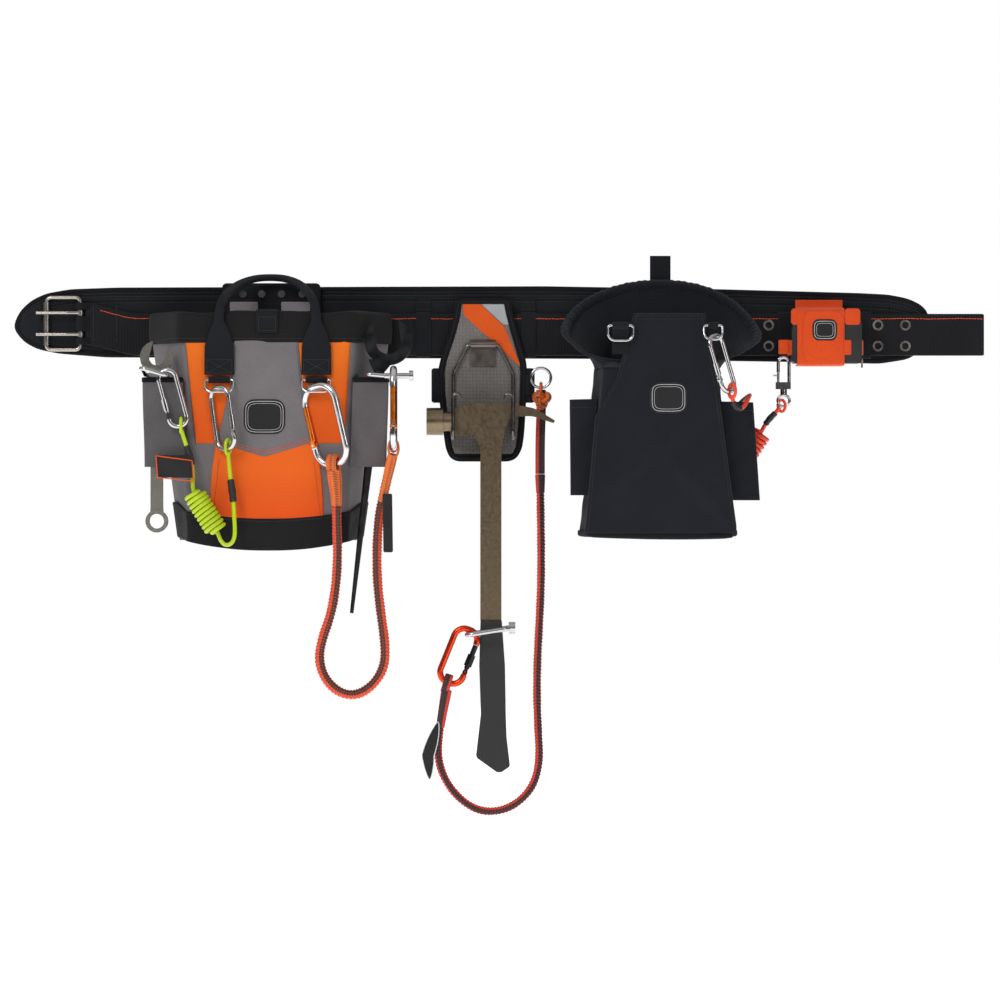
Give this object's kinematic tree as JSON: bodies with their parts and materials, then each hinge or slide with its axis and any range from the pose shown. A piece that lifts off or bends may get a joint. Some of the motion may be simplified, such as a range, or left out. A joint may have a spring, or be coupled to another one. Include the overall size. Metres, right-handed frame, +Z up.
{
  "type": "tool belt",
  "caption": "Padded tool belt with a tool pouch, hammer holster, bolt bag, tape harness, tethered hand tools and sprung carabiners.",
  "frame": {"origin": "middle of the pad's back face, which lies on the wearer's back", "axes": "+X along the belt to the free webbing end, +Y into the wearer, +Z up"},
  "size_m": [1.1715, 0.1568, 0.6763],
  "materials": {
    "black_pad_fabric": "woven nylon over foam",
    "black_webbing": "ribbed nylon webbing",
    "nickel": "nickel plated",
    "grey_ballistic": "grey ballistic nylon",
    "black_canvas": "black cotton canvas",
    "steel_wire": "zinc plated steel wire",
    "aluminium_snap": "polished aluminium",
    "orange_gate": "orange anodised",
    "chrome_vanadium": "satin chrome",
    "black_oxide": "black oxide",
    "red_anodised": "red anodised",
    "black_gate": "black anodised",
    "bronze_titanium": "bronze satin",
    "black_rubber": "moulded rubber",
    "holster_panel_fabric": "padded nylon with binding",
    "grey_mesh": "grey coated mesh",
    "lime_cord": "lime polyurethane cord",
    "orange_bungee": "braided bungee",
    "lanyard_cord": "braided bungee",
    "red_cord": "red polyurethane cord",
    "tape_case": "black moulded case",
    "tape_steel": "yellow coated spring steel",
    "orange_trap": "orange webbing"
  },
  "bodies": {
    "belt": {"belt_pad": "black_pad_fabric", "belt_webbing": "black_webbing", "webbing_keepers": "black_webbing", "webbing_grommets": "nickel", "bag_shell": "black_canvas", "bag_rim": "black_canvas", "bag_pockets": "black_canvas", "bag_hanger": "black_webbing", "bag_ring_tabs": "black_webbing", "bag_carabiner": "steel_wire", "red_lead_bag": "red_cord", "red_coil": "red_cord", "red_lead_tape": "red_cord", "snap_hook": "steel_wire", "tape_measure": "tape_case", "tape_trap": "orange_trap"},
    "buckle": {"buckle_frame": "nickel"},
    "roller": {"buckle_roller": "nickel"},
    "prong_top": {"prong_upper": "nickel"},
    "prong_low": {"prong_lower": "nickel"},
    "pouch": {"pouch_shell": "grey_ballistic", "pouch_collar": "black_canvas", "pouch_base": "black_canvas", "pouch_hanger": "black_webbing", "pouch_handle": "black_webbing", "pouch_hardware": "steel_wire", "tool_sleeves": "grey_ballistic", "pouch_carabiner": "steel_wire", "large_carabiner": "aluminium_snap", "lime_lead_upper": "lime_cord", "lime_coil": "lime_cord", "lime_lead_lower": "lime_cord", "bungee_tether": "orange_bungee"},
    "strap": {"closure_strap": "black_webbing"},
    "pouch_gate": {"pouch_carabiner_gate": "steel_wire"},
    "large_gate": {"large_carabiner_gate": "orange_gate"},
    "wrench": {"combination_wrench": "chrome_vanadium", "wrench_shackle": "steel_wire", "wrench_carabiner": "steel_wire"},
    "wrench_gate": {"wrench_carabiner_gate": "steel_wire"},
    "spud": {"spud_wrench": "black_oxide", "spud_shackle": "steel_wire", "spud_carabiner": "aluminium_snap"},
    "spud_gate": {"spud_carabiner_gate": "orange_gate"},
    "holster": {"holster_panel": "holster_panel_fabric", "holster_face": "grey_mesh", "cradle_bracket": "black_oxide", "holster_ring": "steel_wire", "lanyard_strap": "lanyard_cord"},
    "cradle": {"wire_cradle": "black_oxide", "lanyard_bungee": "lanyard_cord"},
    "hammer": {"hammer_body": "bronze_titanium", "hammer_grip": "black_rubber", "hammer_shackle": "steel_wire", "hammer_carabiner": "red_anodised"},
    "hammer_gate": {"hammer_carabiner_gate": "black_gate"},
    "bag_gate": {"bag_carabiner_gate": "steel_wire"},
    "bag_ring": {"bag_ring_free": "steel_wire"},
    "trigger": {"snap_trigger": "steel_wire"},
    "blade": {"tape_blade": "tape_steel"}
  },
  "joints": [
    {"name": "pouch_slide", "type": "slide", "parent": "belt", "child": "pouch", "axis": [1, 0, 0], "range_m": [-0.03, 0.012]},
    {"name": "holster_slide", "type": "slide", "parent": "belt", "child": "holster", "axis": [1, 0, 0], "range_m": [-0.012, 0.01]},
    {"name": "wrench_slide", "type": "slide", "parent": "pouch", "child": "wrench", "axis": [0, 0, 1], "range_m": [0, 0.12], "deforming": ["lime_lead_upper", "lime_coil"]},
    {"name": "spud_slide", "type": "slide", "parent": "pouch", "child": "spud", "axis": [0.1131, 0, 0.9936], "range_m": [0, 0.1], "deforming": ["bungee_tether"]},
    {"name": "closure_strap_lift", "type": "hinge", "parent": "pouch", "child": "strap", "pos_m": [-0.243, -0.0209, 0.024], "axis": [-1, 0, 0], "range_deg": [0, 60]},
    {"name": "pouch_gate_swing", "type": "hinge", "parent": "pouch", "child": "pouch_gate", "pos_m": [-0.28296, -0.12343, -0.13348], "axis": [-0.6097, -0.788, -0.0857], "range_deg": [0, 20], "stiffness_Nm_per_rad": 0.05},
    {"name": "large_gate_swing", "type": "hinge", "parent": "pouch", "child": "large_gate", "pos_m": [-0.18735, -0.10361, -0.14846], "axis": [0.5018, 0.8572, 0.1159], "range_deg": [0, 20], "stiffness_Nm_per_rad": 0.05},
    {"name": "wrench_gate_swing", "type": "hinge", "parent": "wrench", "child": "wrench_gate", "pos_m": [-0.36129, -0.1155, -0.11365], "axis": [0, 1, 0], "range_deg": [0, 20], "stiffness_Nm_per_rad": 0.05},
    {"name": "spud_gate_swing", "type": "hinge", "parent": "spud", "child": "spud_gate", "pos_m": [-0.0926, -0.13675, -0.12673], "axis": [-1, 0, 0], "range_deg": [0, 20], "stiffness_Nm_per_rad": 0.05},
    {"name": "hammer_gate_swing", "type": "hinge", "parent": "hammer", "child": "hammer_gate", "pos_m": [-0.00747, -0.069, -0.42016], "axis": [0, -1, 0], "range_deg": [0, 20], "stiffness_Nm_per_rad": 0.05},
    {"name": "bag_gate_swing", "type": "hinge", "parent": "belt", "child": "bag_gate", "pos_m": [0.29563, -0.15334, -0.07111], "axis": [-0.7364, 0.6428, -0.2112], "range_deg": [0, 20], "stiffness_Nm_per_rad": 0.05},
    {"name": "cradle_swing", "type": "hinge", "parent": "holster", "child": "cradle", "pos_m": [0.014, -0.0282, -0.026], "axis": [-1, 0, 0], "range_deg": [0, 35], "deforming": ["lanyard_strap"]},
    {"name": "hammer_lift", "type": "slide", "parent": "cradle", "child": "hammer", "axis": [0, 0, 1], "range_m": [0, 0.09], "deforming": ["lanyard_bungee"]},
    {"name": "buckle_fold", "type": "hinge", "parent": "belt", "child": "buckle", "pos_m": [-0.474, -0.0145, 0], "axis": [0, 0, 1], "range_deg": [0, 60]},
    {"name": "roller_spin", "type": "hinge", "parent": "buckle", "child": "roller", "pos_m": [-0.515, -0.0145, 0], "axis": [0, 0, 1], "continuous": true},
    {"name": "prong_top_swing", "type": "hinge", "parent": "buckle", "child": "prong_top", "pos_m": [-0.474, -0.0145, 0.013], "axis": [0, 0, 1], "range_deg": [0, 25]},
    {"name": "prong_low_swing", "type": "hinge", "parent": "buckle", "child": "prong_low", "pos_m": [-0.474, -0.0145, -0.013], "axis": [0, 0, 1], "range_deg": [0, 25]},
    {"name": "trigger_slide", "type": "slide", "parent": "belt", "child": "trigger", "axis": [0, 0, -1], "range_m": [0, 0.006], "stiffness_N_per_m": 200},
    {"name": "blade_pull", "type": "slide", "parent": "belt", "child": "blade", "axis": [1, 0, 0], "range_m": [0, 0.06]},
    {"name": "bag_ring_swing", "type": "hinge", "parent": "belt", "child": "bag_ring", "pos_m": [0.178, -0.1378, -0.006], "axis": [-1, 0, 0], "range_deg": [0, 80]}
  ]
}
